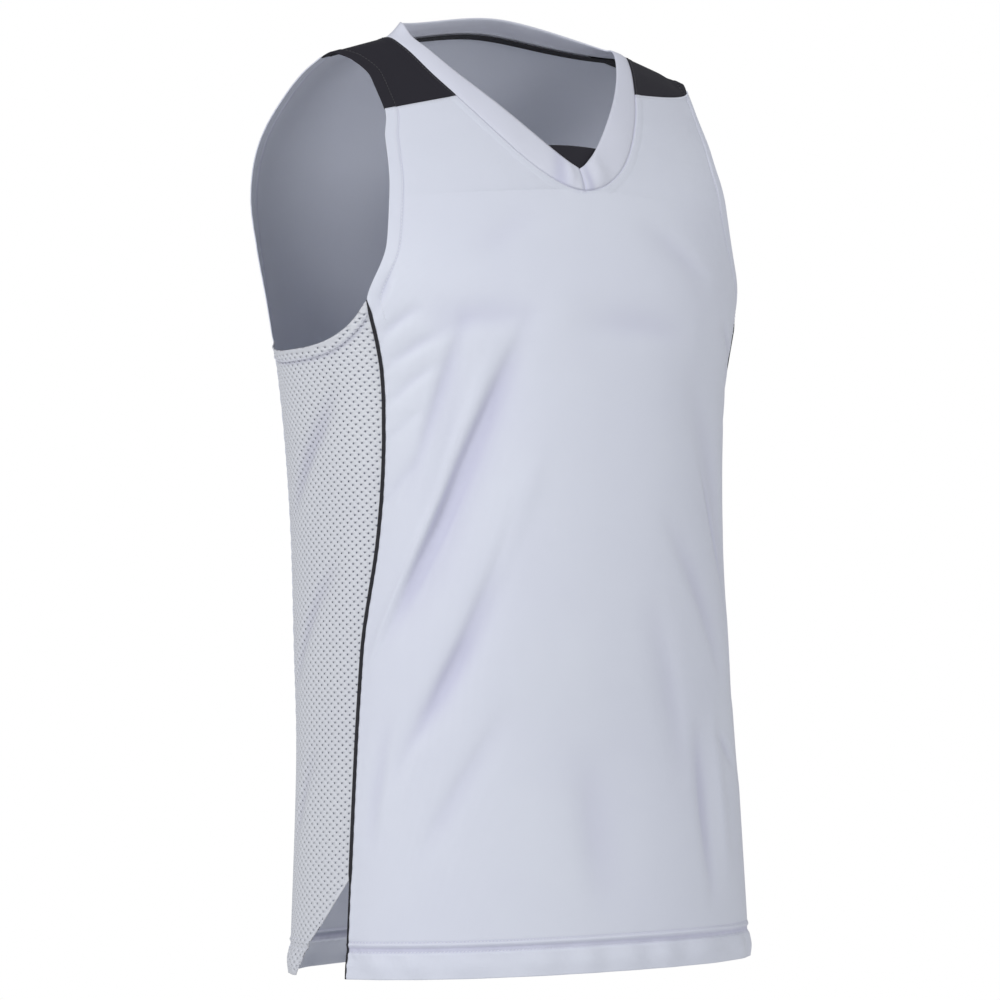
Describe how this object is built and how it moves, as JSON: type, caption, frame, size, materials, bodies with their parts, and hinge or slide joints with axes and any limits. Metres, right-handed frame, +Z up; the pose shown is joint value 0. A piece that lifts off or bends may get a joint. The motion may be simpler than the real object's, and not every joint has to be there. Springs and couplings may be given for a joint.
{
  "type": "basketball jersey",
  "caption": "sleeveless V-neck jersey filled out as if worn, hollow and open at neck, armholes and hem, with mesh side panels, black shoulder yokes, side piping and slanted side vents",
  "frame": {"origin": "at the top of the shoulders, midway between them, where the wearer holds the jersey up", "axes": "+Z up, the front of the jersey faces -Y, the wearer's right is -X"},
  "size_m": [0.4278, 0.3007, 0.8103],
  "materials": {
    "white_knit": "silky white polyester knit with a soft sheen",
    "white_rib": "flat white knit band",
    "white_mesh": "white pinhole mesh",
    "black_knit": "fine matt black knit",
    "black_tape": "woven black tape"
  },
  "bodies": {
    "root": {"front_panel": "white_knit", "back_panel": "white_knit", "collar_band": "white_rib", "side_panel_right": "white_mesh", "side_panel_left": "white_mesh", "shoulder_yoke_right": "black_knit", "shoulder_yoke_left": "black_knit", "neck_insert": "black_knit", "neck_tape": "black_tape", "piping_right": "black_tape", "piping_left": "black_tape"}
  },
  "joints": []
}
